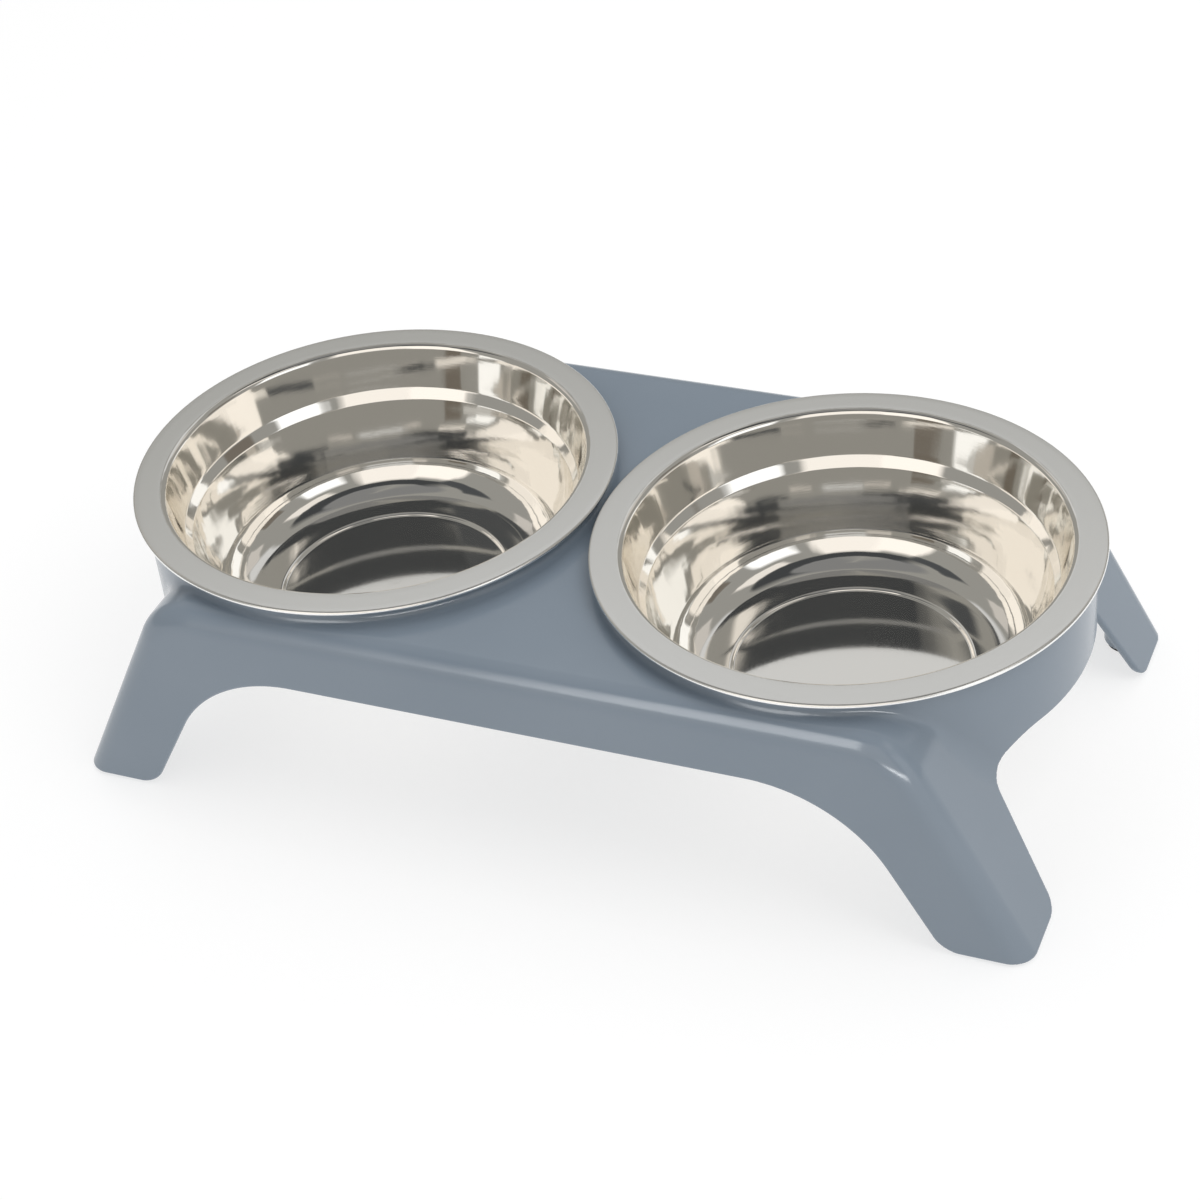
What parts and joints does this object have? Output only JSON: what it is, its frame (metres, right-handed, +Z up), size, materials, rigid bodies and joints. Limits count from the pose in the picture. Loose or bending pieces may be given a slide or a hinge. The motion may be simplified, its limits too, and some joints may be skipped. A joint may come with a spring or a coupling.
{
  "type": "double pet bowl",
  "caption": "Double pet feeder: pressed steel bowls that lift out of a moulded plastic stand with splayed legs and small rubber foot pads.",
  "frame": {"origin": "on the floor, midway between the bowls, at the middle of the stand", "axes": "+X from the left bowl to the right bowl, +Y to the rear, +Z up out of the bowls"},
  "size_m": [0.325, 0.1676, 0.084],
  "materials": {
    "stand_plastic": "satin blue-grey moulded plastic, fine grain",
    "bowl_steel": "satin flange, polished inside",
    "foot_rubber": "matt black"
  },
  "bodies": {
    "stand": {"stand": "stand_plastic", "front_left_foot": "foot_rubber", "front_right_foot": "foot_rubber", "rear_left_foot": "foot_rubber", "rear_right_foot": "foot_rubber"},
    "left_bowl": {"left_bowl": "bowl_steel"},
    "right_bowl": {"right_bowl": "bowl_steel"}
  },
  "joints": [
    {"name": "left_bowl_lift", "type": "slide", "parent": "stand", "child": "left_bowl", "axis": [0, 0, 1], "range_m": [0, 0.06]},
    {"name": "right_bowl_lift", "type": "slide", "parent": "stand", "child": "right_bowl", "axis": [0, 0, 1], "range_m": [0, 0.06]}
  ]
}
